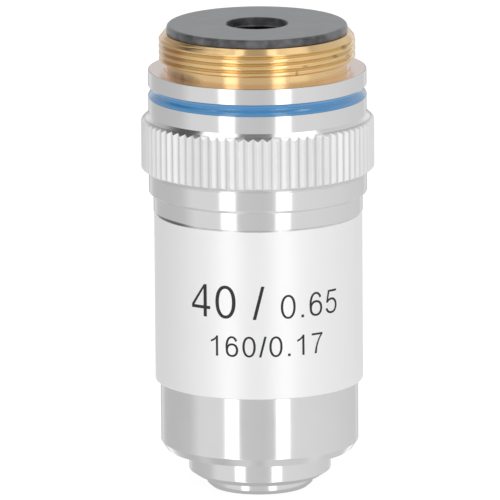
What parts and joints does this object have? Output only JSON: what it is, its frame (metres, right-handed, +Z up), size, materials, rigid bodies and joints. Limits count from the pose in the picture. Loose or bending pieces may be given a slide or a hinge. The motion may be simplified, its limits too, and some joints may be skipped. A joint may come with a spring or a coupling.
{
  "type": "microscope objective",
  "caption": "Achromatic microscope objective with a brass mounting thread, knurled chrome collar, blue ring, satin marking sleeve and a spring-loaded nose that slides up into the body.",
  "frame": {"origin": "centre of the front rim, on the optical axis, where the objective stands", "axes": "+Z up the optical axis, from the nose to the thread; +X through the guide screw in the tube's wall"},
  "size_m": [0.0242, 0.0242, 0.0489],
  "materials": {
    "chrome": "polished chrome plate with faint turning lines",
    "satin": "fine satin",
    "brass": "turned brass, bright, with small stains",
    "black": "matte black anodised",
    "blue_enamel": "glossy enamel",
    "spring_steel": "drawn wire",
    "glass": "polished and coated"
  },
  "bodies": {
    "housing": {"thread_mount": "brass", "rear_stop": "black", "grip_collar": "chrome", "colour_band": "blue_enamel", "marking_sleeve": "satin", "body_tube": "chrome", "guide_screw": "spring_steel", "parfocal_shim": "brass", "return_spring": "spring_steel"},
    "lens_barrel": {"spring_washer": "spring_steel", "inner_barrel": "chrome", "nose_cap": "chrome", "front_cell": "chrome", "front_lens": "glass", "front_doublet_cell": "black", "front_doublet_crown": "glass", "front_doublet_flint": "glass", "lens_spacer": "black", "rear_doublet_cell": "black", "rear_doublet_crown": "glass", "rear_doublet_flint": "glass", "aperture_stop": "black", "retaining_ring": "black"}
  },
  "joints": [
    {"name": "nose_slide", "type": "slide", "parent": "housing", "child": "lens_barrel", "axis": [0, 0, 1], "range_m": [0, 0.003], "stiffness_N_per_m": 200, "springref_m": -0.015, "deforming": ["return_spring"]}
  ]
}
